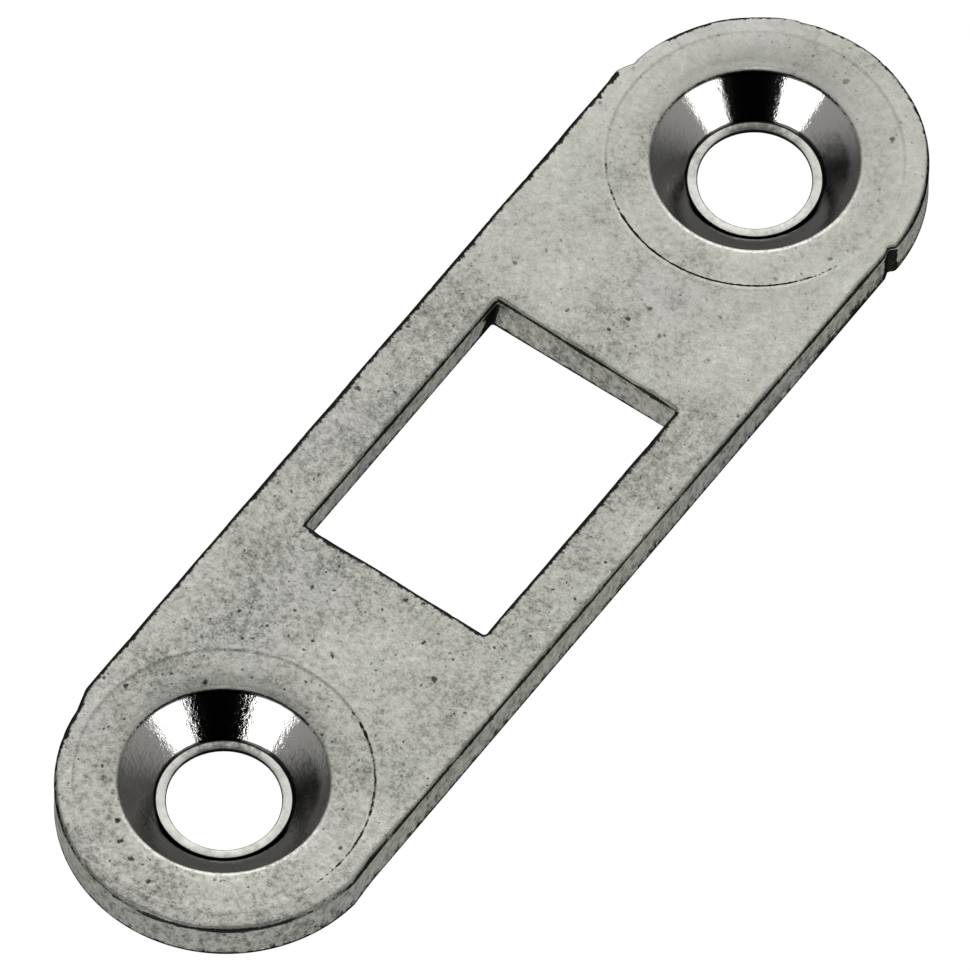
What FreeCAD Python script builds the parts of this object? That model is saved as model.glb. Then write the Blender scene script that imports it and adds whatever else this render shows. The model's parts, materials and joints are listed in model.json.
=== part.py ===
# Door strike plate: one flat steel stamping with round ends, a latch slot and two countersunk screw holes.
# It lies on its back face at Z 0, with its length along Y and the origin midway between the screw holes.
import FreeCAD
import Part
import math
import os

# Driving dimensions, in millimetres and degrees
hole_spacing = 32.0            # between the two screw holes, along Y
plate_thickness = 1.70         # the sheet that the plate is stamped from
left_margin = 6.18             # from the line of the screw holes to the left side
right_margin = 6.11            # from the line of the screw holes to the right side
end_radius = 6.08              # the die that crops the round ends
end_reach = 0.05               # end radius centre beyond the screw hole's centre
end_shift = 0.13               # the cropping die stood this far off the centre line, towards +X

# Sides and ends are cut in separate strokes that don't quite meet, so each corner has a small shoulder: where
# the side stops, beyond (+) or short of (-) the end radius centre, and its run from there to the round end
upper_right_shoulder = -0.45
upper_right_run = 0.35
upper_left_shoulder = 0.10
upper_left_run = 0.60
lower_left_shoulder = -0.20
lower_left_run = 0.90
lower_right_shoulder = -0.60
lower_right_run = 1.20
shoulder_round = 0.25          # tumbling has rounded the corners of the shoulders
nib_height = 0.06              # the upper left side kicks out this far where it stops
nib_run = 0.45                 # length of that kick
nick_radius = 0.16             # notch that the cropping tool left in the upper right shoulder
nick_depth = 0.14              # how far that notch goes in

slot_length = 11.60            # latch slot at the front, along Y
slot_width = 7.81              # latch slot at the front, along X
slot_shift = -0.015            # the slot's centre off the centre line, along X
slot_corner = 0.12             # corner radius of the slot punch
shear_depth = 0.60             # the slot's wall is straight this far down, and then breaks out
break_left = 0.15              # how far the left wall breaks out on its way to the back face
break_right = 0.03             # the same for the right wall
break_ends = 0.02              # the same for the two end walls

bore_diameter = 4.10           # clearance for the screw's shank
sink_diameter = 7.50           # mouth of the countersink
sink_angle = 90.0              # included angle of the countersink
sink_edge = 0.10               # rounding at the countersink's mouth
land_height = 0.31             # from the back face up to the ledge round the bore
ledge_fall = 6.5               # slope of that ledge towards the bore

coin_diameter = 10.70          # flat pressed round the countersink by the shoulder of its punch
coin_depth = 0.045             # how far that flat lies below the front face
coin_wall = 0.085              # width of the sloping rim round that flat
dish_diameter = 8.90           # within this the flat sinks towards the countersink
dish_depth = 0.06              # how far it has sunk at the countersink's mouth

front_edge = 0.17              # rolled-over edge on the front, where the punch went in
back_edge = 0.06               # edge on the back, broken by tumbling

# Sizes that follow
hole_y = hole_spacing / 2
end_y = hole_y + end_reach
coin_z = plate_thickness - coin_depth
mouth_z = coin_z - dish_depth
sink_slope = math.tan(math.radians(sink_angle / 2))
sink_depth = mouth_z - land_height
bore_radius = bore_diameter / 2
sink_radius = sink_diameter / 2
coin_radius = coin_diameter / 2
dish_radius = dish_diameter / 2
past_face = plate_thickness    # how far a cutting tool runs past a face

up = FreeCAD.Vector(0, 0, 1)


def point(x, y, z=0.0):
    return FreeCAD.Vector(x, y, z)


def shoulder(side, end, stop, run):
    # where the left (-1) or right (+1) side stops, and where the lower (-1) or upper (+1) round end starts
    margin = right_margin if side > 0 else left_margin
    rise = stop + run
    arc_x = end_shift + side * math.sqrt(end_radius**2 - rise**2)
    return point(side * margin, end * (end_y + stop)), point(arc_x, end * (end_y + rise))


def blank_outline():
    right_side, right_end = shoulder(1, 1, upper_right_shoulder, upper_right_run)
    left_side, left_end = shoulder(-1, 1, upper_left_shoulder, upper_left_run)
    low_left_side, low_left_end = shoulder(-1, -1, lower_left_shoulder, lower_left_run)
    low_right_side, low_right_end = shoulder(1, -1, lower_right_shoulder, lower_right_run)
    top = point(end_shift, end_y + end_radius)
    bottom = point(end_shift, -end_y - end_radius)
    nib = left_side - point(nib_height, 0)
    nib_foot = left_side - point(0, nib_run)
    edges = [
        Part.LineSegment(low_right_side, right_side),
        Part.LineSegment(right_side, right_end),
        Part.Arc(right_end, top, left_end),
        Part.LineSegment(left_end, nib),
        Part.LineSegment(nib, nib_foot),
        Part.LineSegment(nib_foot, low_left_side),
        Part.LineSegment(low_left_side, low_left_end),
        Part.Arc(low_left_end, bottom, low_right_end),
        Part.LineSegment(low_right_end, low_right_side),
    ]
    return Part.Wire([edge.toShape() for edge in edges])


def nick_tool():
    right_side, right_end = shoulder(1, 1, upper_right_shoulder, upper_right_run)
    middle = (right_side + right_end) * 0.5
    centre = middle + point(nick_radius - nick_depth, 0, -past_face)
    return Part.makeCylinder(nick_radius, plate_thickness + 2 * past_face, centre, up)


def is_upright(edge):
    return abs(edge.tangentAt(edge.FirstParameter).z) > 0.99


def lies_at(edge, z):
    box = edge.BoundBox
    return abs(box.ZMin - z) < 1e-6 and abs(box.ZMax - z) < 1e-6


def slot_outline(growth, z):
    # the slot's outline at height z, grown by this share of the break-out on each side
    x0 = slot_shift - slot_width / 2 - growth * break_left
    x1 = slot_shift + slot_width / 2 + growth * break_right
    y1 = slot_length / 2 + growth * break_ends
    r = slot_corner
    bow = r * (1 - math.sqrt(0.5))
    edges = [
        Part.LineSegment(point(x0 + r, -y1, z), point(x1 - r, -y1, z)),
        Part.Arc(point(x1 - r, -y1, z), point(x1 - bow, -y1 + bow, z), point(x1, -y1 + r, z)),
        Part.LineSegment(point(x1, -y1 + r, z), point(x1, y1 - r, z)),
        Part.Arc(point(x1, y1 - r, z), point(x1 - bow, y1 - bow, z), point(x1 - r, y1, z)),
        Part.LineSegment(point(x1 - r, y1, z), point(x0 + r, y1, z)),
        Part.Arc(point(x0 + r, y1, z), point(x0 + bow, y1 - bow, z), point(x0, y1 - r, z)),
        Part.LineSegment(point(x0, y1 - r, z), point(x0, -y1 + r, z)),
        Part.Arc(point(x0, -y1 + r, z), point(x0 + bow, -y1 + bow, z), point(x0 + r, -y1, z)),
    ]
    return Part.Wire([edge.toShape() for edge in edges])


def slot_punch():
    outline = slot_outline(0, -past_face)
    return Part.Face(outline).extrude(up * (plate_thickness + 2 * past_face))


def slot_break():
    # the sloping walls start inside the punched slot and end below the back face
    shear_z = plate_thickness - shear_depth
    overrun = 0.5
    inner = slot_outline(-overrun, shear_z * (1 + overrun))
    outer = slot_outline(1 + overrun, -shear_z * overrun)
    return Part.makeLoft([outer, inner], True, True)


def stamped_blank():
    blank = Part.Face(blank_outline()).extrude(up * plate_thickness)
    corners = [edge for edge in blank.Edges if is_upright(edge)]
    blank = blank.makeFillet(shoulder_round, corners)
    blank = blank.cut(slot_punch())
    blank = blank.makeFillet(front_edge, [edge for edge in blank.Edges if lies_at(edge, plate_thickness)])
    return blank.cut(slot_break())


def screw_hole_tool():
    # the coined flat and its dish, the countersink, the ledge at its foot and the bore, on the Z axis
    coin_floor = coin_radius - coin_wall
    coin_tool = Part.makeCone(coin_floor, coin_radius + coin_wall, 2 * coin_depth, point(0, 0, coin_z), up)
    dish_tool = Part.makeCone(sink_radius, dish_radius, dish_depth, point(0, 0, mouth_z), up)
    foot_radius = sink_radius - sink_depth * sink_slope
    sink_tool = Part.makeCone(foot_radius, sink_radius, sink_depth, point(0, 0, land_height), up)
    ledge_drop = abs(foot_radius - bore_radius) * math.tan(math.radians(ledge_fall))
    ledge_base = point(0, 0, land_height - ledge_drop)
    ledge_tool = Part.makeCone(bore_radius, foot_radius, ledge_drop, ledge_base, up)
    bore_tool = Part.makeCylinder(bore_radius, past_face + mouth_z, point(0, 0, -past_face), up)
    return coin_tool.fuse([dish_tool, sink_tool, ledge_tool, bore_tool])


def is_sink_mouth(edge):
    return lies_at(edge, mouth_z) and abs(edge.BoundBox.XLength - sink_diameter) < 1e-3


def strike_plate():
    plate = stamped_blank()
    for side in (-1, 1):
        tool = screw_hole_tool()
        tool.translate(point(0, side * hole_y))
        plate = plate.cut(tool)
    plate = plate.makeFillet(sink_edge, [edge for edge in plate.Edges if is_sink_mouth(edge)])
    plate = plate.makeFillet(back_edge, [edge for edge in plate.Edges if lies_at(edge, 0)])
    return plate.cut(nick_tool())


os.makedirs("parts", exist_ok=True)
plate = strike_plate().Solids[0]
plate.exportStep("parts/strike_plate.step")
box = plate.optimalBoundingBox()
print("strike_plate valid", plate.isValid(), "faces", len(plate.Faces), "volume", round(plate.Volume, 3))
print("box", [round(v, 4) for v in (box.XMin, box.XMax, box.YMin, box.YMax, box.ZMin, box.ZMax)])
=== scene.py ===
import json
import math

import bmesh
import bpy
from mathutils import Matrix, Vector, noise


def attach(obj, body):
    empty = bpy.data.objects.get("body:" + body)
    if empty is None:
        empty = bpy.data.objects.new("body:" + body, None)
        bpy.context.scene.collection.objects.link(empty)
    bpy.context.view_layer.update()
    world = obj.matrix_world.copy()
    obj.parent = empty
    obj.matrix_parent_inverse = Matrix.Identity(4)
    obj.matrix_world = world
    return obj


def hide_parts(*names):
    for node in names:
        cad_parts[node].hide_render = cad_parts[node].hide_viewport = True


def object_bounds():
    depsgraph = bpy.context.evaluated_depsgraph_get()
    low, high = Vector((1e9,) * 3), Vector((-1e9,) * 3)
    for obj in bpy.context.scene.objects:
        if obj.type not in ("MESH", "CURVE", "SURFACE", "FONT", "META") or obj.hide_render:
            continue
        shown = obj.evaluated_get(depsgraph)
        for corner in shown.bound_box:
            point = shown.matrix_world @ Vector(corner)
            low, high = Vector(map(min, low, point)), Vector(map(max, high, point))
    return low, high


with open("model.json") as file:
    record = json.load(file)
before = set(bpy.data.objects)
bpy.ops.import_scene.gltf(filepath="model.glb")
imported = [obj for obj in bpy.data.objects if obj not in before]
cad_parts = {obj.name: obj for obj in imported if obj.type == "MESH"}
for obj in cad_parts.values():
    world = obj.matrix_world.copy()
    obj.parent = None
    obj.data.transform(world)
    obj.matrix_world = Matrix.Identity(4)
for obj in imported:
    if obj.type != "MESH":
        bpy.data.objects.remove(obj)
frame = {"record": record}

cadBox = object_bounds()
mounts = {m["name"]: m for m in frame["record"]["mounts"]}
scene = bpy.context.scene
scene.view_settings.view_transform = "Standard"

# Everything is modelled in millimetres and scaled to metres once, when a mesh is finished.
toMetres = 0.001
plateTop = cadBox[1].z / toMetres
holeY = mounts["screw_bore_upper"]["pos_m"][1] / toMetres
boreRadius = mounts["screw_bore_upper"]["dims"]["r_mm"]
plateLength = (cadBox[1].y - cadBox[0].y) / toMetres
weldReach = 0.001            # points nearer than this are merged
sharpAngle = 32              # degrees, edges that turn more than this stay sharp

# Camera

shot = {
    "azimuth": 35.26,        # degrees, 0 looks along the plate's length
    "elevation": 58.60,
    "roll": 0.93,
    "distance": 1219.4,      # mm, far off with a long lens, so nearly without perspective
    "lens": 1274.0,
    "sensor": 36.0,
    "aside": -0.206,         # mm across the view, to place the plate in the frame
    "above": 0.205,
    "lookAtHeight": 0.044,
    "clipFrom": 0.1,         # metres
    "clipTo": 20,
}


def viewAxes(azimuth, elevation, roll=0.0):
    a, e, r = (math.radians(v) for v in (azimuth, elevation, roll))
    back = Vector((math.sin(a) * math.cos(e), -math.cos(a) * math.cos(e), math.sin(e)))
    level = Vector((math.cos(a), math.sin(a), 0))
    right = Matrix.Rotation(r, 3, back) @ level
    return right, back.cross(right), back


def makeCamera():
    right, up, back = viewAxes(shot["azimuth"], shot["elevation"], shot["roll"])
    camera = bpy.data.objects.new("camera", bpy.data.cameras.new("camera"))
    scene.collection.objects.link(camera)
    camera.data.lens = shot["lens"]
    camera.data.sensor_width = shot["sensor"]
    camera.data.clip_start = shot["clipFrom"]
    camera.data.clip_end = shot["clipTo"]
    place = Vector((0, 0, shot["lookAtHeight"])) + back * shot["distance"]
    place += right * shot["aside"] + up * shot["above"]
    turn = Matrix((right, up, back)).transposed().to_4x4()
    camera.matrix_world = Matrix.Translation(place * toMetres) @ turn
    scene.camera = camera


makeCamera()
print("camera ready")

# Materials are small node trees, made with these helpers


def newMaterial(name):
    material = bpy.data.materials.new(name)
    material.use_nodes = True
    material.node_tree.nodes.clear()
    return material


def addNode(tree, kind, values=None, **settings):
    made = tree.nodes.new(kind)
    for key, value in settings.items():
        setattr(made, key, value)
    for key, value in (values or {}).items():
        if isinstance(value, bpy.types.NodeSocket):
            tree.links.new(value, made.inputs[key])
        else:
            made.inputs[key].default_value = value
    return made


def mathNode(tree, operation, first, second=0.0, third=0.0, clamp=False):
    values = {0: first, 1: second, 2: third}
    return addNode(tree, "ShaderNodeMath", values, operation=operation, use_clamp=clamp).outputs[0]


def mapRange(tree, value, fromMin, fromMax, toMin, toMax, smooth=False):
    values = {"Value": value, "From Min": fromMin, "From Max": fromMax, "To Min": toMin, "To Max": toMax}
    kind = "SMOOTHSTEP" if smooth else "LINEAR"
    return addNode(tree, "ShaderNodeMapRange", values, interpolation_type=kind).outputs["Result"]


def rampNode(tree, value, stops):
    ramp = addNode(tree, "ShaderNodeValToRGB", {"Fac": value})
    elements = ramp.color_ramp.elements
    while len(elements) < len(stops):
        elements.new(0.5)
    for element, (position, colour) in zip(elements, stops):
        element.position = position
        element.color = (*colour, 1)
    return ramp.outputs["Color"]


def greyStops(stops):
    return [(at, (v, v, v)) for at, v in stops]


# Studio: soft boxes and a pale floor, in a tent that is darkest low down, overhead and behind the camera

softBoxes = {
    # degrees round from the camera, degrees up, degrees of roll, width and height in metres, radiance
    "backBox": (180, 42, 0, 1.3, 1.15, 1.22),
    "leftBox": (-45, 32, 14, 0.54, 0.75, 2.35),
    "rightBox": (53, 32, -14, 0.47, 0.75, 1.9),
}
boxDistance = 1.0            # metres from the plate


def makeSoftBox(name, around, elevation, roll, width, height, radiance):
    right, up, back = viewAxes(shot["azimuth"] + around, elevation, roll)
    lamp = bpy.data.lights.new(name, "AREA")
    lamp.shape = "RECTANGLE"
    lamp.size = width
    lamp.size_y = height
    lamp.energy = radiance * math.pi * width * height
    box = bpy.data.objects.new(name, lamp)
    scene.collection.objects.link(box)
    turn = Matrix((right, up, back)).transposed().to_4x4()
    box.matrix_world = Matrix.Translation(back * boxDistance) @ turn


for name, values in softBoxes.items():
    makeSoftBox(name, *values)

tent = {
    "glow": ((0.0, 0.01), (0.5, 0.03), (0.59, 0.12), (0.68, 0.30), (0.75, 0.32), (0.86, 0.13), (1.0, 0.06)),
    "darkAround": 5,         # degrees round from the camera and up, the middle of the dark side
    "darkHeight": 15,
    "darkFrom": 0.74,        # cosines of the angle from there, between which the dark ends
    "darkTo": 0.80,
}


def makeTent():
    world = bpy.data.worlds.new("tent")
    world.use_nodes = True
    scene.world = world
    tree = world.node_tree
    tree.nodes.clear()
    direction = addNode(tree, "ShaderNodeTexCoord").outputs["Generated"]
    height = addNode(tree, "ShaderNodeSeparateXYZ", {"Vector": direction}).outputs["Z"]
    glow = rampNode(tree, mapRange(tree, height, -1, 1, 0, 1), greyStops(tent["glow"]))
    cameraSide = viewAxes(shot["azimuth"] + tent["darkAround"], tent["darkHeight"])[2]
    facing = addNode(tree, "ShaderNodeVectorMath", {0: direction, 1: cameraSide}, operation="DOT_PRODUCT")
    lit = mapRange(tree, facing.outputs["Value"], tent["darkFrom"], tent["darkTo"], 1, 0, smooth=True)
    background = addNode(tree, "ShaderNodeBackground", {"Color": glow, "Strength": lit})
    addNode(tree, "ShaderNodeOutputWorld", {"Surface": background.outputs[0]})


floor = {
    "size": 6.0,             # metres
    "colour": (0.84, 0.84, 0.84),
    "shadeColour": (0.22, 0.22, 0.22),   # painted shade, as mirrored in the screw holes, where the plate would shade it
    "shadeFrom": 0.0024,     # metres from a hole's axis
    "shadeTo": 0.0040,
    "whiteShare": 0.93,      # how much of its look is plain white rather than lit surface
    "whiteStrength": 1.06,
}


def makeFloor():
    bm = bmesh.new()
    bmesh.ops.create_grid(bm, x_segments=1, y_segments=1, size=floor["size"] / 2)
    mesh = bpy.data.meshes.new("floor")
    bm.to_mesh(mesh)
    bm.free()
    ground = bpy.data.objects.new("floor", mesh)
    scene.collection.objects.link(ground)
    material = newMaterial("paleFloor")
    tree = material.node_tree
    path = addNode(tree, "ShaderNodeLightPath")
    local = addNode(tree, "ShaderNodeTexCoord").outputs["Object"]
    fromHoles = []
    for end in (1, -1):
        axis = (0, end * holeY * toMetres, 0)
        away = addNode(tree, "ShaderNodeVectorMath", {0: local, 1: axis}, operation="DISTANCE")
        fromHoles.append(away.outputs["Value"])
    nearest = mathNode(tree, "MINIMUM", *fromHoles)
    # painted shade: mirrored rays see the floor darker round each hole's axis
    clearOfHoleShade = mapRange(tree, nearest, floor["shadeFrom"], floor["shadeTo"], 0, 1, smooth=True)
    inMetal = mathNode(tree, "MULTIPLY", path.outputs["Is Glossy Ray"], clearOfHoleShade)
    direct = mathNode(tree, "MAXIMUM", path.outputs["Is Camera Ray"], path.outputs["Is Transmission Ray"])
    seen = mathNode(tree, "MAXIMUM", direct, inMetal)
    share = mathNode(tree, "MULTIPLY", seen, floor["whiteShare"])
    unmirrored = mathNode(tree, "SUBTRACT", 1.0, path.outputs["Is Glossy Ray"])
    shade = mathNode(tree, "MAXIMUM", unmirrored, clearOfHoleShade)
    shaded = rampNode(tree, shade, ((0, floor["shadeColour"]), (1, floor["colour"])))
    lit = addNode(tree, "ShaderNodeBsdfDiffuse", {"Color": shaded})
    white = addNode(tree, "ShaderNodeEmission", {"Strength": floor["whiteStrength"]})
    mix = addNode(tree, "ShaderNodeMixShader", {0: share, 1: lit.outputs[0], 2: white.outputs[0]})
    addNode(tree, "ShaderNodeOutputMaterial", {"Surface": mix.outputs[0]})
    mesh.materials.append(material)


makeTent()
makeFloor()
print("studio ready")

# The plate's outline: straight sides and round ends, cut in separate strokes that don't quite meet

outline = {
    "leftMargin": 6.18,      # from the line of the holes to each side
    "rightMargin": 6.11,
    "endRadius": 6.077,
    "endReach": 0.05,        # end centres beyond the holes
    "endShift": 0.13,        # the ends stand off the centre line
    "arcSteps": 110,
    "sideStep": 0.13,        # spacing of the points along the sides
    "nibHeight": 0.055,
    "nibRun": 0.45,
    "shoulderReach": 0.8,    # what lies this near a shoulder is smoothed
    "shoulderSmooth": 0.5,
    # at each corner: side, end, where the side stops from the end centre, and its run to the round end
    "upperRight": (1, 1, -0.45, 0.35),
    "upperLeft": (-1, 1, 0.0, 0.75),
    "lowerLeft": (-1, -1, -0.20, 0.90),
    "lowerRight": (1, -1, -0.60, 1.20),
    # a notch the cropping tool left in the upper right shoulder
    "notchAt": (6.15, 15.75, 0),
    "notchDepth": 0.14,
    "notchWidth": 0.16,
}


def lineTo(bm, start, place):
    end = bmesh.ops.extrude_vert_indiv(bm, verts=[start])["verts"][0]
    end.co = place
    return end


def arcTo(bm, start, centre, angle, steps):
    spun = bmesh.ops.spin(bm, geom=[start], cent=centre, axis=(0, 0, 1), angle=angle, steps=steps)
    return next(g for g in spun["geom_last"] if isinstance(g, bmesh.types.BMVert))


def divideEdges(bm, edges, step):
    for edge in edges:
        cuts = int(edge.calc_length() / step)
        if cuts:
            bmesh.ops.subdivide_edges(bm, edges=[edge], cuts=cuts)


def shoulder(name):
    # where the straight side stops, and where the round end starts
    o = outline
    side, end, stop, run = o[name]
    margin = o["rightMargin"] if side > 0 else -o["leftMargin"]
    rise = stop + run
    arcX = o["endShift"] + side * math.sqrt(o["endRadius"] ** 2 - rise ** 2)
    endY = holeY + o["endReach"]
    return Vector((margin, end * (endY + stop), 0)), Vector((arcX, end * (endY + rise), 0))


def roundEnd(bm, at, target, end):
    centre = Vector((outline["endShift"], end * (holeY + outline["endReach"]), 0))
    fromCentre = [co - centre for co in (at.co, target)]
    sweep = math.atan2(fromCentre[1].y, fromCentre[1].x) - math.atan2(fromCentre[0].y, fromCentre[0].x)
    return arcTo(bm, at, centre, sweep % math.tau, outline["arcSteps"])


def outlineLoop():
    o = outline
    bm = bmesh.new()
    corners = {name: shoulder(name) for name in ("lowerRight", "upperRight", "upperLeft", "lowerLeft")}
    first = bm.verts.new(corners["lowerRight"][0])
    at = lineTo(bm, first, corners["upperRight"][0])
    at = lineTo(bm, at, corners["upperRight"][1])
    at = roundEnd(bm, at, corners["upperLeft"][1], 1)
    at = lineTo(bm, at, corners["upperLeft"][0] - Vector((o["nibHeight"], 0, 0)))
    at = lineTo(bm, at, corners["upperLeft"][0] - Vector((0, o["nibRun"], 0)))
    at = lineTo(bm, at, corners["lowerLeft"][0])
    at = lineTo(bm, at, corners["lowerLeft"][1])
    at = roundEnd(bm, at, corners["lowerRight"][1], -1)
    lineTo(bm, at, first.co)
    bmesh.ops.remove_doubles(bm, verts=bm.verts, dist=weldReach)
    divideEdges(bm, bm.edges[:], o["sideStep"])
    stops = [corner[0] for corner in corners.values()]
    near = [v for v in bm.verts if min((v.co - s).length for s in stops) < o["shoulderReach"]]
    bmesh.ops.smooth_vert(bm, verts=near, factor=o["shoulderSmooth"], use_axis_x=True, use_axis_y=True)
    return bm


# Rolled front edges, sheared walls and broken back edges, swept round a loop of points

rim = {
    "roll": 0.17,            # radius of the rolled front edge
    "rollSteps": 6,
    "edgeFrom": 3,           # the step from which the roll has the edge's finish
    "rollDrift": 0.50,       # how much that radius wanders along the edge, as a share
    "driftScale": 0.55,      # per mm
    "driftSeed": (3, 7, 1),
    "nickScale": 2.6,
    "nickSeed": (11, 2, 5),
    "nickShare": 0.9,        # how much a nick widens the roll
    "nickLevel": 0.25,       # noise above this level is a nick
    "faceBand": 0.14,        # a narrow band of the face beside the roll
    "leastBand": 0.04,       # its width where the lip of a hole leaves no more room
    "lipGap": 0.03,          # from there to the lip
    "wallHeights": (1.30, 1.10, 0.90, 0.70, 0.50, 0.32, 0.18),
    "wallRough": 0.018,      # depth of the torn wall's relief
    "tearAlong": 4,          # that relief's noise, per mm along the wall and up it
    "tearUp": 1.5,
    "backRound": 0.06,
    "backSteps": 2,
    # stain, painted shade and painted highlight (below 0) from the face over the roll to the wall, on the
    # side towards the viewer and on the side away from it
    "viewerSideStainAndShade": (-0.3, -0.9, 0.05, 0.68, 1.1, 1.0, 0.3),
    "farSideStainAndShade": (0.55, 0.9, 0.95, 0.95, 0.95, 0.7, 0.4),
    "viewerSide": (0.577, -0.816, 0),   # towards the viewer
    "sideBlend": 3,          # how sharply one side's stain and painted shade go over into the other's
    "patchy": 0.6,           # how much the stain and painted shade on the side towards the viewer come and go
    "patchScale": 0.8,
    "patchSeed": (0, 4, 9),
    # painted shade on the walls' back rounding
    "backShade": 1.0,
    "footShade": 0.58,       # painted shade: the wall darkens towards the back
    "footHeight": 0.85,
    "footLess": 0.3,         # less so on walls that face the lower end, by this share
    "topShade": 0.12,        # and a little at its top
    "topHeight": 1.25,
    "rightWallShade": 0.08,       # painted shade: the walls that face right are darker than the others
    # painted shade in the notch
    "notchShade": 3.5,
    "notchReach": 0.36,
    "cornerShade": 2.2,      # painted shade in the slot's darkest corner
    "cornerReach": 0.75,
    "cornerBelow": 0.2,
    "cornerLeast": 0.2,      # share of it on the walls that don't face right
    # painted shade on the nib's bent top
    "nibShade": 1.3,
    "nibReach": 0.42,
    "nibBelow": 0.22,
    # where the front edge has less stain and painted shade: the middle of that stretch, its reach, how much
    # less, and 1 if that ends towards the wall or 0 if it doesn't
    "cleanEdges": (
        ((-5.9, 16.9, 0), 1.6, 0.9, 0),
        ((0.9, 22.0, 0), 8.0, 0.5, 1),
        ((5.7, -18.2, 0), 1.8, 0.5, 0),
        ((-2.2, -21.7, 0), 4.6, 0.38, 0),
    ),
    "darkWall": ((6.11, 13.6, 0), 3.2, 0.2),   # middle, reach and stain of a darker stretch of wall
}

zoneNames = ("tumbledFace", "rolledEdge", "shearedWall", "burnishedCone", "boreLedge")
zone = {name: i for i, name in enumerate(zoneNames)}


def vertsOf(geom):
    return [g for g in geom if isinstance(g, bmesh.types.BMVert)]


def edgesOf(geom):
    return [g for g in geom if isinstance(g, bmesh.types.BMEdge)]


def facesOf(geom):
    return [g for g in geom if isinstance(g, bmesh.types.BMFace)]


def loopNeighbours(vert, ring):
    return [e.other_vert(vert) for e in vert.link_edges if e in ring]


def rollAt(base):
    # the roll's radius at a point of the loop: it wanders, and here and there it is nicked
    drift = noise.noise(base * rim["driftScale"] + Vector(rim["driftSeed"]))
    nick = noise.noise(base * rim["nickScale"] + Vector(rim["nickSeed"]))
    share = 1 + rim["rollDrift"] * drift
    share += rim["nickShare"] * max(0, nick - rim["nickLevel"]) / (1 - rim["nickLevel"])
    return rim["roll"] * share


def roomAt(base):
    # the room between a point of a loop and the lip round the nearer hole
    away = min((base - Vector((0, end * holeY, 0))).length for end in (1, -1))
    return away - screwHole["lipOuter"] - rim["lipGap"]


def nearness(place, spot, reach):
    return max(0, 1 - (place - Vector(spot)).length / reach)


def broadNearness(place, spot, reach):
    # whole within half of the reach
    return min(1, 2 * nearness(place, spot, reach))


def notchAt(base):
    off = (base - Vector(outline["notchAt"])).length
    return outline["notchDepth"] * math.exp(-(off / outline["notchWidth"]) ** 2)


def makeStations(ring, inward):
    # each point of a loop keeps its place, the direction into the metal and its own roll
    stations = {}
    ringSet = set(ring)
    for vert in {v for e in ring for v in e.verts}:
        before, after = loopNeighbours(vert, ringSet)
        along = (after.co - before.co).normalized()
        into = Vector((-along.y, along.x, 0))
        if into.dot(inward(vert.co)) < 0:
            into.negate()
        base = vert.co + into * notchAt(vert.co)
        stations[vert] = (base, into, min(rollAt(vert.co), roomAt(base) - rim["leastBand"]))
    return stations


# the points' stain, painted shade and painted highlight
def stainAndShadeLayer(bm):
    return bm.verts.layers.float.get("stainAndShade") or bm.verts.layers.float.new("stainAndShade")


def rollStainAndShade(step, base, into):
    # stain with painted shade and highlight on the roll; facingViewer is 1 on the side towards the viewer
    # and 0 on the side away from it
    facingViewer = 0.5 - 0.5 * max(-1, min(1, rim["sideBlend"] * into.dot(Vector(rim["viewerSide"]))))
    patchy = 1 + rim["patchy"] * noise.noise(base * rim["patchScale"] + Vector(rim["patchSeed"])) * facingViewer
    # painted shade on the nib
    nibFoot = shoulder("upperLeft")[0] - Vector((0, rim["nibBelow"], 0))
    nib = rim["nibShade"] * nearness(base, nibFoot, rim["nibReach"])
    for spot, reach, share, fade in rim["cleanEdges"]:
        share *= 1 - fade * step / rim["rollSteps"]
        patchy *= 1 - share * broadNearness(base, spot, reach)
    return max(nib, patchy * (facingViewer * rim["viewerSideStainAndShade"][step] + (1 - facingViewer) * rim["farSideStainAndShade"][step]))


def wallDarkening(base, into):
    # painted shade in the slot's corner and in the notch, and a darker stretch of wall
    darkCorner = (slot["shift"] - slot["width"] / 2, slot["length"] / 2 - rim["cornerBelow"], 0)
    facing = max(rim["cornerLeast"], -into.x)
    corner = rim["cornerShade"] * nearness(base, darkCorner, rim["cornerReach"]) * facing
    notch = rim["notchShade"] * nearness(base, outline["notchAt"], rim["notchReach"])
    spot, reach, amount = rim["darkWall"]
    return max(corner, notch, amount * broadNearness(base, spot, reach))


def sweepRow(bm, ring, stations, place, stainAndShade, material):
    layer = stainAndShadeLayer(bm)
    old = {v for e in ring for v in e.verts}
    made = bmesh.ops.extrude_edge_only(bm, edges=ring)["geom"]
    fresh = vertsOf(made)
    pairs = [(v, next(e.other_vert(v) for e in v.link_edges if e.other_vert(v) in old)) for v in fresh]
    for vert, source in pairs:
        stations[vert] = stations[source]
        base, into, roll = stations[vert]
        vert.co = place(base, into, roll)
        vert[layer] = stainAndShade(base, into)
    for face in facesOf(made):
        face.material_index = zone[material]
    return edgesOf(made)


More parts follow.
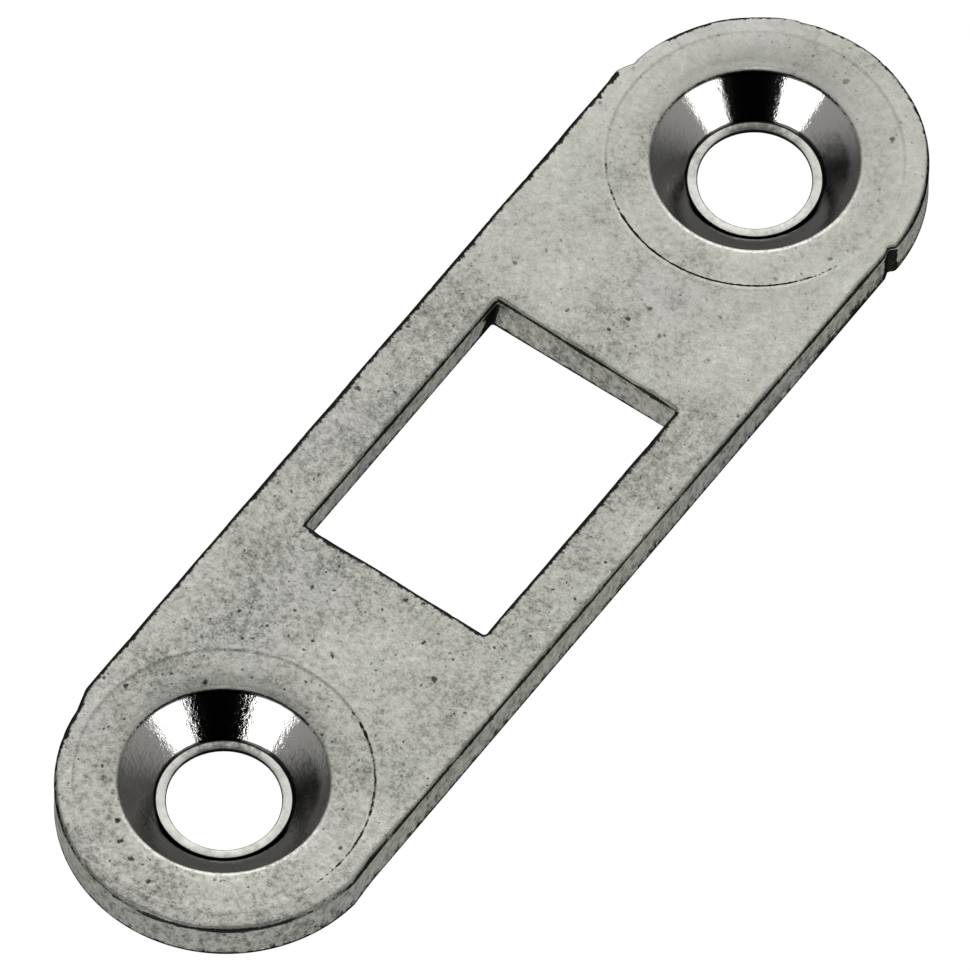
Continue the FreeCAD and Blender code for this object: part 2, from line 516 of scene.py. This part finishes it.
def sweepRim(bm, ring, inward, wallPlace):
    # returns the loops where the front and the back face start
    layer = stainAndShadeLayer(bm)
    stations = makeStations(ring, inward)
    for vert, (base, into, roll) in list(stations.items()):
        inset = min(roll + rim["faceBand"], roomAt(base))
        vert.co = base + into * inset + Vector((0, 0, plateTop - screwHole["lipHeight"]))
        vert[layer] = 0
    front = list(ring)
    for step in range(rim["rollSteps"] + 1):
        turn = math.pi / 2 * step / rim["rollSteps"]

        def rollPlace(base, into, roll, turn=turn):
            drop = roll * (1 - math.cos(turn)) + screwHole["lipHeight"]
            return base + into * roll * (1 - math.sin(turn)) + Vector((0, 0, plateTop - drop))

        def rollMark(base, into, step=step):
            return rollStainAndShade(step, base, into)

        material = "rolledEdge" if step >= rim["edgeFrom"] else "tumbledFace"
        ring = sweepRow(bm, ring, stations, rollPlace, rollMark, material)
    for height in rim["wallHeights"]:

        def tornPlace(base, into, roll, height=height):
            along, up = rim["tearAlong"], rim["tearUp"]
            relief = noise.noise(Vector((base.x * along, base.y * along, height * up)))
            depth = rim["wallRough"] * (0.5 + 0.5 * relief)
            return wallPlace(base, height) + into * depth + Vector((0, 0, height))

        def wallMark(base, into, height=height):
            # painted shade: darker towards the back, a little at the top, and on walls that face right
            foot = rim["footShade"] * max(0, 1 - height / rim["footHeight"])
            foot *= 1 - rim["footLess"] * max(0, into.y)
            top = rim["topShade"] if height > rim["topHeight"] else 0
            return wallDarkening(base, into) + foot + top + rim["rightWallShade"] * max(0, -into.x)

        ring = sweepRow(bm, ring, stations, tornPlace, wallMark, "shearedWall")
    for step in range(rim["backSteps"] + 1):
        turn = math.pi / 2 * step / rim["backSteps"]

        def backPlace(base, into, roll, turn=turn):
            height = rim["backRound"] * (1 - math.sin(turn))
            inset = rim["backRound"] * (1 - math.cos(turn))
            return wallPlace(base, height) + into * inset + Vector((0, 0, height))

        def backMark(base, into):
            # painted shade
            return rim["backShade"]

        ring = sweepRow(bm, ring, stations, backPlace, backMark, "shearedWall")
    return front, ring


def towardsMiddleLine(co):
    return Vector((0, max(-holeY, min(holeY, co.y)), 0)) - co


def straightWall(base, height):
    return base


# The latch slot: its walls are straight below the front and break out towards the back

slot = {
    "length": 11.60,
    "width": 7.81,
    "shift": -0.015,
    "corner": 0.11,
    "cornerSteps": 6,
    "step": 0.16,
    "shearDepth": 0.60,      # straight so far down, and from there out to these at the back
    "breakLeft": 0.15,
    "breakRight": 0.03,
    "breakEnds": 0.02,
    "nearSkew": 0.09,        # the near end runs this much out of square
    "farLean": 0.15,         # the far wall leans in towards its left end
}


def slotLoop(bm):
    s = slot
    before = set(bm.edges)
    left, right = s["shift"] - s["width"] / 2, s["shift"] + s["width"] / 2
    low, high = -s["length"] / 2, s["length"] / 2
    r = s["corner"]
    lowRight = low + s["nearSkew"]
    first = bm.verts.new((left + r, low, 0))
    at = lineTo(bm, first, (right - r, lowRight, 0))
    at = arcTo(bm, at, (right - r, lowRight + r, 0), math.pi / 2, s["cornerSteps"])
    at = lineTo(bm, at, (right, high - r, 0))
    at = arcTo(bm, at, (right - r, high - r, 0), math.pi / 2, s["cornerSteps"])
    at = lineTo(bm, at, (left + r, high, 0))
    at = arcTo(bm, at, (left + r, high - r, 0), math.pi / 2, s["cornerSteps"])
    at = lineTo(bm, at, (left, low + r, 0))
    arcTo(bm, at, (left + r, low + r, 0), math.pi / 2, s["cornerSteps"])
    fresh = [e for e in bm.edges if e not in before]
    bmesh.ops.remove_doubles(bm, verts=list({v for e in fresh for v in e.verts}), dist=weldReach)
    divideEdges(bm, [e for e in bm.edges if e not in before], s["step"])
    return [e for e in bm.edges if e not in before]


def awayFromSlot(co):
    return co - Vector((slot["shift"], 0, 0))


def slotWall(base, height):
    s = slot
    shearHeight = plateTop - s["shearDepth"]
    share = max(0, 1 - height / shearHeight)
    left, right = s["shift"] - s["width"] / 2, s["shift"] + s["width"] / 2
    across = (base.x - left) / (right - left)
    along = 2 * base.y / s["length"]
    outX = across * s["breakRight"] - (1 - across) * s["breakLeft"]
    outY = along * s["breakEnds"] - max(0, along) * (1 - across) * s["farLean"]
    return base + Vector((outX, outY, 0)) * share


# Screw holes: a coined flat with a raised lip, the burnished countersink, a ledge and the bore

screwHole = {
    "lipOuter": 5.64,
    "lipCrest": 5.42,
    "lipHeight": 0.010,
    "lipRise": 0.55,         # share of that height halfway up
    "coinRadius": 5.36,      # top and foot of the step down to the coined flat
    "coinFloor": 5.30,
    "coinTop": 0.010,        # below the front, and above the flat, at those
    "coinFoot": 0.004,
    "coinRun": 0.06,         # the flat is level this far in from the foot
    "coinDepth": 0.045,
    "coinLean": {1: 0.88, -1: 0.60},   # share of the depth that is missing on each hole's far side
    "dishRadius": 4.45,      # from here the flat sinks towards the countersink
    "dishDepth": {1: 0.050, -1: 0.075},
    "dishShares": (0.33, 0.66, 0.85, 0.94, 1),
    "mouthRadius": 3.75,
    "mouthRound": 0.09,
    "roundOut": 0.35,        # a point on that rounding, outwards and down, as shares of it
    "roundDown": 0.20,
    "coneDown": 0.55,        # and where the cone starts
    "footRadius": 2.445,
    "footHeight": 0.32,
    "coneSwell": 0.020,      # the punch left the countersink a little trumpet-shaped
    "coneSteps": 12,
    "footGroove": ((0.02, 0.025), (0.07, 0.012)),   # inwards and down from the cone's foot
    "ledgeHeight": 0.275,
    "ledgeRound": ((0.07, 0.006), (0.015, -0.012), (0, -0.05)),   # out from the bore, up from the ledge
    "flare": 0.07,           # the bore opens a little towards the back
    "backRound": 0.05,
    "steps": 144,
    # for each hole: where round it the coined ring's painted shade is darkest, how far that reaches, least
    # and most shade
    "ringShade": {1: (-80, 55, 0.20, 0.85), -1: (25, 40, 0.25, 0.62)},
    "ringPeak": 1.5,         # shade before it is held to the most
    "lipHighlight": 0.5,         # the lip beside it gets a painted highlight
    # painted shade on the mouth's far side and painted highlight on its near side
    "mouthShade": 1.0,
    "mouthHighlight": 1.9,
    # painted shade in the crease at the cone's foot
    "footShade": 1.0,
    "footReach": 0.5,
    "nearShade": 1.2,        # painted shade above the foot of the near wall
    "nearBlend": 1.6,
    "sideShade": (38, 48, 0.66),   # painted shade on one side of the cone: degrees round the hole, reach and strength
    "sideShadeTop": 0.43,      # it fades over this much below the mouth
    "sideShadeSpread": 0.5,    # it reaches further round at the foot, and less so up to this far above it
    "sideShadeRise": 0.9,
    "farHighlight": (125, 18),    # degrees round the hole and reach of a painted highlight on the far rim
    # painted shade on the ledge's far side and down the bore
    "ledgeShade": 0.52,
    "boreShade": 0.8,
    # how near a radius a point counts as lying on it, and some slack
    "onRing": 0.02,
    "onFoot": 0.025,
    "onMouth": 0.06,
    "offBore": 0.03,
    "slack": 0.01,
}


def holeProfile(side):
    # radius and height of each point, from the front face to the back
    h = screwHole
    face = plateTop - h["lipHeight"]
    flat = plateTop - h["coinDepth"]
    depth = h["dishDepth"][side]
    dish = flat - depth
    mouth = h["mouthRadius"]
    edge = h["mouthRound"]
    low, high = h["footHeight"], dish - h["coneDown"] * edge
    yield h["lipOuter"], face
    yield (h["lipOuter"] + h["lipCrest"]) / 2, face + h["lipHeight"] * h["lipRise"]
    yield h["lipCrest"], plateTop
    yield h["coinRadius"], plateTop - h["coinTop"]
    yield h["coinFloor"], flat + h["coinFoot"]
    yield h["coinFloor"] - h["coinRun"], flat
    yield h["dishRadius"], flat
    for share in h["dishShares"]:
        yield h["dishRadius"] + (mouth + edge - h["dishRadius"]) * share, flat - depth * share ** 2
    yield mouth + h["roundOut"] * edge, dish - h["roundDown"] * edge
    for step in range(h["coneSteps"]):
        share = step / (h["coneSteps"] - 1)
        swell = h["coneSwell"] * 4 * share * (1 - share)
        yield mouth + (h["footRadius"] - mouth) * share, high + (low - high) * share + swell
    for inwards, down in h["footGroove"]:
        yield h["footRadius"] - inwards, low - down
    for outwards, up in h["ledgeRound"]:
        yield boreRadius + outwards, h["ledgeHeight"] + up
    yield boreRadius + h["flare"], h["backRound"]
    yield boreRadius + h["flare"] + h["backRound"], 0


def holeZone(radius):
    h = screwHole
    if radius > h["mouthRadius"] - h["onRing"]:
        return "tumbledFace"
    if radius > h["footRadius"] - h["slack"]:
        return "burnishedCone"
    return "boreLedge"


def angleOff(angle, middle):
    return abs((math.degrees(angle) - middle + 180) % 360 - 180)


def coneShade(radius, angle, near):
    # painted shade: a dark foot on the near wall, and a darker side
    h = screwHole
    fromFoot = radius - h["footRadius"]
    foot = max(0, 1 - fromFoot / h["footReach"]) * h["nearShade"] * max(0, min(1, h["nearBlend"] * near))
    where, width, amount = h["sideShade"]
    width *= 1 + h["sideShadeSpread"] * max(0, 1 - fromFoot / h["sideShadeRise"])
    share = max(0, 1 - angleOff(angle, where) / width) ** 0.5
    deep = min(1, (h["mouthRadius"] - radius) / h["sideShadeTop"])
    return max(foot, share * deep * amount)


def holeLightAndShade(radius, height, angle, side):
    # painted shade above 0, painted highlight below 0
    h = screwHole
    middle, reach, least, most = h["ringShade"][side]
    ring = max(least, min(most, h["ringPeak"] - angleOff(angle, middle) / reach))
    near = Vector((math.cos(angle), math.sin(angle), 0)).dot(Vector(rim["viewerSide"]))
    fromMouth = radius - h["mouthRadius"]
    if min(abs(radius - h["coinRadius"]), abs(radius - h["coinFloor"])) < h["onRing"]:
        return ring
    if abs(radius - h["lipCrest"]) < h["onRing"]:
        return -ring * h["lipHighlight"]
    if abs(radius - h["footRadius"]) < h["onFoot"]:
        return h["footShade"]
    if radius > h["footRadius"] and fromMouth < -h["slack"]:
        return coneShade(radius, angle, near)
    if -h["slack"] < fromMouth - h["mouthRound"] < h["onMouth"]:
        where, width = h["farHighlight"]
        return -h["mouthHighlight"] * max(0, near, 1 - angleOff(angle, where) / width)
    if boreRadius + h["offBore"] < radius < h["footRadius"]:
        return h["ledgeShade"] * max(0, -near)
    if -h["slack"] < fromMouth < h["onMouth"]:
        return h["mouthShade"] * max(0, -near) - h["mouthHighlight"] * max(0, near)
    if radius < boreRadius + h["onRing"] and height < h["ledgeHeight"] - h["slack"]:
        return h["boreShade"]
    return 0.0


def coinLean(off, side):
    # the punch leaned towards the viewer, so the coined flat is shallower on the far side
    h = screwHole
    radius = math.hypot(off.x, off.y)
    if not h["dishRadius"] - h["slack"] < radius < h["coinRadius"] + h["slack"]:
        return 0.0
    far = max(0, -off.normalized().dot(Vector(rim["viewerSide"])))
    return far * h["coinLean"][side] * (plateTop - off.z)


def spinHole(bm, side):
    # returns the loops where the front and the back face start
    layer = stainAndShadeLayer(bm)
    before = set(bm.verts)
    centre = Vector((0, side * holeY, 0))
    points = list(holeProfile(side))
    at = bm.verts.new(centre + Vector((points[0][0], 0, points[0][1])))
    for radius, height in points[1:]:
        at = bmesh.ops.extrude_vert_indiv(bm, verts=[at])["verts"][0]
        at.co = centre + Vector((radius, 0, height))
    chain = [v for v in bm.verts if v not in before]
    geom = chain + list({e for v in chain for e in v.link_edges})
    bmesh.ops.spin(bm, geom=geom, cent=centre, axis=(0, 0, 1), angle=math.tau,
                   steps=screwHole["steps"], use_merge=True)
    verts = {v for v in bm.verts if v not in before}
    for vert in verts:
        off = vert.co - centre
        vert[layer] = holeLightAndShade(math.hypot(off.x, off.y), off.z, math.atan2(off.y, off.x), side)
        vert.co.z += coinLean(off, side)
    for face in {f for v in verts for f in v.link_faces}:
        middle = face.calc_center_median() - centre
        face.material_index = zone[holeZone(math.hypot(middle.x, middle.y))]
    openEdges = [e for e in bm.edges if e.is_boundary and e.verts[0] in verts]
    front = [e for e in openEdges if e.verts[0].co.z > plateTop / 2]
    back = [e for e in openEdges if e.verts[0].co.z < plateTop / 2]
    return front, back


def fillFlat(bm, loops, normal, material):
    edges = [e for loop in loops for e in loop]
    made = bmesh.ops.triangle_fill(bm, edges=edges, use_beauty=True, normal=normal)["geom"]
    for face in facesOf(made):
        face.material_index = zone[material]


def buildPlate():
    bm = outlineLoop()
    front, back = sweepRim(bm, bm.edges[:], towardsMiddleLine, straightWall)
    slotFront, slotBack = sweepRim(bm, slotLoop(bm), awayFromSlot, slotWall)
    fronts, backs = [front, slotFront], [back, slotBack]
    for side in (1, -1):
        holeFront, holeBack = spinHole(bm, side)
        fronts.append(holeFront)
        backs.append(holeBack)
    fillFlat(bm, fronts, (0, 0, 1), "tumbledFace")
    fillFlat(bm, backs, (0, 0, -1), "tumbledFace")
    bmesh.ops.recalc_face_normals(bm, faces=bm.faces)
    for face in bm.faces:
        face.smooth = True
    for edge in bm.edges:
        edge.smooth = edge.calc_face_angle(0) < math.radians(sharpAngle)
    bmesh.ops.scale(bm, vec=(toMetres,) * 3, verts=bm.verts)
    mesh = bpy.data.meshes.new("strikePlate")
    bm.to_mesh(mesh)
    bm.free()
    plate = bpy.data.objects.new("strikePlate", mesh)
    scene.collection.objects.link(plate)
    return plate


plate = buildPlate()
print("plate", len(plate.data.vertices), "points", len(plate.data.polygons), "faces")

# Marks that stand out on the face: x, y and radius in mm, and how dark
faceMarks = (
    (-2.84, -18.68, 0.19, 0.80),
    (-2.05, -19.53, 0.16, 0.80),
    (-3.34, -18.46, 0.30, 0.30),
    (-3.08, -19.11, 0.12, 0.65),
    (-5.04, -14.97, 0.13, 0.65),
    (0.34, -20.95, 0.12, 0.65),
    (2.16, -19.48, 0.13, 0.70),
    (1.55, -20.32, 0.10, 0.55),
    (0.10, -9.66, 0.11, 0.60),
    (2.33, -7.29, 0.10, 0.60),
    (0.72, 20.54, 0.18, 0.40),
    (3.47, 19.56, 0.15, 0.55),
    (4.56, 14.15, 0.15, 0.45),
    (0.26, 7.86, 0.12, 0.65),
    (1.58, 7.93, 0.12, 0.40),
    (1.76, 8.06, 0.10, 0.40),
)

# Finishes: a tone made of noise, pits, stain and painted shade and highlight picks the colour, and roughens
# the surface a little

steelTones = (
    (0.00, (0.010, 0.010, 0.009)),
    (0.22, (0.085, 0.085, 0.077)),
    (0.36, (0.290, 0.290, 0.263)),
    (0.50, (0.475, 0.475, 0.432)),
    (0.65, (0.570, 0.570, 0.523)),
    (1.00, (0.860, 0.860, 0.810)),
)
edgeTones = (
    (0.00, (0.008, 0.008, 0.007)),
    (0.50, (0.280, 0.280, 0.258)),
    (1.00, (0.560, 0.560, 0.520)),
)
wallTones = (
    (0.00, (0.010, 0.010, 0.009)),
    (0.50, (0.345, 0.345, 0.314)),
    (1.00, (0.560, 0.560, 0.510)),
)
ledgeTones = (
    (0.00, (0.010, 0.010, 0.009)),
    (0.30, (0.200, 0.200, 0.185)),
    (0.50, (0.620, 0.620, 0.580)),
    (1.00, (0.860, 0.860, 0.820)),
)
coneTones = (
    (0.00, (0.010, 0.010, 0.010)),
    (0.50, (0.760, 0.750, 0.725)),
    (1.00, (0.860, 0.850, 0.825)),
)
finishes = {
    # noise is (per mm, octaves, roughness, amount), pits are (per mm, size, depth)
    "tumbledFace": {
        "tones": steelTones,
        "cloud": (0.35, 4, 0.62, 0.55),
        "grain": (4.4, 2, 0.9, 0.72),
        "pits": ((1.4, 0.10, 0.65), (2.4, 0.12, 0.6), (4.2, 0.16, 0.5)),
        "marks": faceMarks,
        "roughness": (0.38, 0.54),
        "relief": 0.000020,      # metres
        "stretch": (1, 1, 1),
        "trend": True,           # follows the face's change along the plate
        "grazing": 1.0,          # how pale it gets at a low angle
        "ragged": 2.0,           # how broken the edges of its stains and painted shade are
    },
    "rolledEdge": {
        "tones": edgeTones,
        "cloud": (0.5, 2, 0.5, 0.6),
        "grain": (1.6, 4, 0.8, 1.6),
        "pits": (),
        "marks": (),
        "roughness": (0.40, 0.60),
        "relief": 0.000020,
        "stretch": (1, 1, 1),
        "trend": False,
        "grazing": 0.6,
        "ragged": 2.8,
    },
    "shearedWall": {
        "tones": wallTones,
        "cloud": (0.4, 3, 0.6, 0.5),
        "grain": (3.4, 2, 0.9, 1.3),
        "pits": ((2.4, 0.12, 0.6),),
        "marks": (),
        "roughness": (0.40, 0.60),
        "relief": 0.000030,
        "stretch": (1, 1, 0.8),
        "trend": False,
        "grazing": 0.4,
        "ragged": 2.0,
    },
    "burnishedCone": {
        "tones": coneTones,
        "cloud": (0.3, 2, 0.5, 0.2),
        "grain": (4.0, 3, 0.85, 0.35),
        "pits": (),
        "marks": (),
        "roughness": (0.06, 0.11),
        "relief": 0.000040,
        "stretch": (1, 1, 0.6),
        "trend": True,
        "grazing": 0.5,
        "ragged": 0.25,
    },
    "boreLedge": {
        "tones": ledgeTones,
        "cloud": (0.3, 2, 0.5, 0.2),
        "grain": (1.5, 4, 0.8, 0.5),
        "pits": (),
        "marks": (),
        "roughness": (0.30, 0.45),
        "relief": 0.000010,
        "stretch": (1, 1, 1),
        "trend": False,
        "grazing": 1.0,
        "ragged": 0.4,
    },
}
trend = {
    # along the plate from its lower to its upper end: how bright the face is, and how gritty
    "level": ((0.0, 0.475), (0.14, 0.50), (0.32, 0.49), (0.40, 0.45),
              (0.60, 0.45), (0.68, 0.52), (0.86, 0.56), (1.0, 0.54)),
    "grit": ((0.0, 1.0), (0.4, 0.95), (0.6, 0.85), (0.72, 0.70), (0.85, 0.55), (1.0, 0.46)),
    # between these distances from the middle line the face gets brighter, from and to
    "edgeShine": (4.8, 5.9, 0, 0.045),
}
steel = {
    # the same for all finishes, with scales per mm
    "plainLevel": 0.5,       # tone of a finish that doesn't follow the trend
    "rippleScale": 4.0,
    "rippleDetail": 2,
    "ripple": 0.25,          # mm, how far pits and marks are bent out of round
    "pitRarity": 4.0,        # the higher, the fewer large pits
    "pitSpread": 2.2,
    "pitLeast": 0.0005,
    "pitCore": 0.45,         # share of a pit's radius that is at its full depth
    "markCore": 0.4,         # and of a mark's
    "speckleScale": 3.2,
    "speckleDetail": 4,
    "speckleRough": 0.85,
    "darkeningFrom": 0.35,       # between these stain and painted shade go from clean to darkest
    "darkeningTo": 0.75,
    "darkest": 0.06,
    "highlightBreaks": (0.38, 0.55, -0.05, -0.3),   # speckle from and to, and how bright the painted highlight is at those
    "dullSpan": 0.2,         # grain of this much either way takes the roughness from end to end
    "tintScale": 0.22,       # patches of warmer and cooler grey
    "tintDetail": 3,
    "tints": ((0.36, (1.0, 0.990, 1.015)), (0.64, (1.0, 1.003, 0.970))),
}


def noiseNode(tree, place, perMm, octaves, rough, amount):
    # noise about zero
    values = {"Vector": place, "Scale": perMm, "Detail": octaves, "Roughness": rough}
    flat = addNode(tree, "ShaderNodeTexNoise", values).outputs["Fac"]
    return mathNode(tree, "MULTIPLY", mathNode(tree, "SUBTRACT", flat, 0.5), amount)


def pitMask(tree, place, scale, size):
    # 1 in a pit and 0 beside it: one cell in a few holds a pit, and no two are alike
    cells = addNode(tree, "ShaderNodeTexVoronoi", {"Vector": place, "Scale": scale}, feature="F1")
    pick = addNode(tree, "ShaderNodeSeparateColor", {"Color": cells.outputs["Color"]}).outputs[0]
    rare = mathNode(tree, "POWER", pick, steel["pitRarity"])
    reach = mathNode(tree, "MULTIPLY", rare, size * steel["pitSpread"])
    reach = mathNode(tree, "ADD", reach, steel["pitLeast"])
    near = mathNode(tree, "DIVIDE", cells.outputs["Distance"], reach)
    return mapRange(tree, near, steel["pitCore"], 1.0, 1, 0, smooth=True)


def bentPlace(tree, inMm):
    # bends places about a little, so that pits and marks aren't quite round
    values = {"Vector": inMm, "Scale": steel["rippleScale"], "Detail": steel["rippleDetail"]}
    ripple = addNode(tree, "ShaderNodeTexNoise", values).outputs["Color"]
    values = {0: ripple, 1: (steel["ripple"],) * 3, 2: inMm}
    bent = addNode(tree, "ShaderNodeVectorMath", values, operation="MULTIPLY_ADD").outputs[0]
    values = {0: bent, 1: (steel["ripple"] / 2,) * 3}
    return addNode(tree, "ShaderNodeVectorMath", values, operation="SUBTRACT").outputs[0]


def cleanTone(tree, inMm, look):
    # the tone before stain and painted shade, and the grain in it
    streaked = addNode(tree, "ShaderNodeMapping", {"Vector": inMm, "Scale": look["stretch"]}).outputs[0]
    bent = bentPlace(tree, inMm)
    grain = noiseNode(tree, streaked, *look["grain"])
    cloud = noiseNode(tree, inMm, *look["cloud"])
    level = steel["plainLevel"]
    if look["trend"]:
        place = addNode(tree, "ShaderNodeSeparateXYZ", {"Vector": inMm})
        along = mapRange(tree, place.outputs["Y"], -plateLength / 2, plateLength / 2, 0, 1)
        aside = mathNode(tree, "ABSOLUTE", place.outputs["X"])
        cloud = mathNode(tree, "ADD", cloud, mapRange(tree, aside, *trend["edgeShine"], smooth=True))
        level = rampNode(tree, along, greyStops(trend["level"]))
        grit = rampNode(tree, along, greyStops(trend["grit"]))
        grain = mathNode(tree, "MULTIPLY", grain, grit)
    tone = mathNode(tree, "ADD", mathNode(tree, "ADD", grain, cloud), level)
    for scale, size, depth in look["pits"]:
        amount = mathNode(tree, "MULTIPLY", grit, depth) if look["trend"] else depth
        pits = mathNode(tree, "MULTIPLY", pitMask(tree, bent, scale, size), amount)
        tone = mathNode(tree, "MULTIPLY", tone, mathNode(tree, "SUBTRACT", 1.0, pits))
    for x, y, radius, depth in look["marks"]:
        away = addNode(tree, "ShaderNodeVectorMath", {0: bent, 1: (x, y, plateTop)}, operation="DISTANCE")
        core = steel["markCore"] * radius
        spot = mapRange(tree, away.outputs["Value"], core, radius, 1 - depth, 1, smooth=True)
        tone = mathNode(tree, "MULTIPLY", tone, spot)
    return tone, grain


def makeFinish(name, look):
    material = newMaterial(name)
    tree = material.node_tree
    local = addNode(tree, "ShaderNodeTexCoord").outputs["Object"]
    inMm = addNode(tree, "ShaderNodeMapping", {"Vector": local, "Scale": (1 / toMetres,) * 3}).outputs[0]
    tone, grain = cleanTone(tree, inMm, look)
    bump = addNode(tree, "ShaderNodeBump", {"Height": tone, "Distance": look["relief"]})

    # the stain and painted shade on the points, broken up by speckle, darken the tone, and where it is
    # below 0 a painted highlight brightens it
    stainAndShade = addNode(tree, "ShaderNodeAttribute", attribute_name="stainAndShade").outputs["Fac"]
    values = {"Vector": inMm, "Scale": steel["speckleScale"], "Detail": steel["speckleDetail"],
              "Roughness": steel["speckleRough"]}
    speckle = addNode(tree, "ShaderNodeTexNoise", values).outputs["Fac"]
    ragged = mathNode(tree, "MULTIPLY_ADD", mathNode(tree, "SUBTRACT", speckle, 0.5), look["ragged"], stainAndShade)
    clean = mapRange(tree, ragged, steel["darkeningFrom"], steel["darkeningTo"], 1, steel["darkest"], smooth=True)
    breaks = mapRange(tree, speckle, *steel["highlightBreaks"], smooth=True)
    paintedHighlight = mathNode(tree, "MULTIPLY", mathNode(tree, "MINIMUM", stainAndShade, 0.0), breaks)
    tone = mathNode(tree, "MULTIPLY_ADD", tone, clean, paintedHighlight, clamp=True)

    values = {"Vector": inMm, "Scale": steel["tintScale"], "Detail": steel["tintDetail"]}
    patches = addNode(tree, "ShaderNodeTexNoise", values).outputs["Fac"]
    values = {0: rampNode(tree, tone, look["tones"]), 1: rampNode(tree, patches, steel["tints"])}
    colour = addNode(tree, "ShaderNodeVectorMath", values, operation="MULTIPLY").outputs[0]
    grazing = mapRange(tree, clean, steel["darkest"], 1, 0, look["grazing"])
    low, high = look["roughness"]
    dullness = mapRange(tree, grain, -steel["dullSpan"], steel["dullSpan"], high, low)
    values = {
        "Base Color": colour,
        "Metallic": 1.0,
        "Roughness": dullness,
        "Specular Tint": grazing,
        "Normal": bump.outputs[0],
    }
    metal = addNode(tree, "ShaderNodeBsdfPrincipled", values)
    addNode(tree, "ShaderNodeOutputMaterial", {"Surface": metal.outputs[0]})
    return material


for name in zoneNames:
    plate.data.materials.append(makeFinish(name, finishes[name]))
print("finishes ready")

even = plate.modifiers.new("evenShading", "WEIGHTED_NORMAL")
even.keep_sharp = True
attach(plate, "root")
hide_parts("strike_plate")
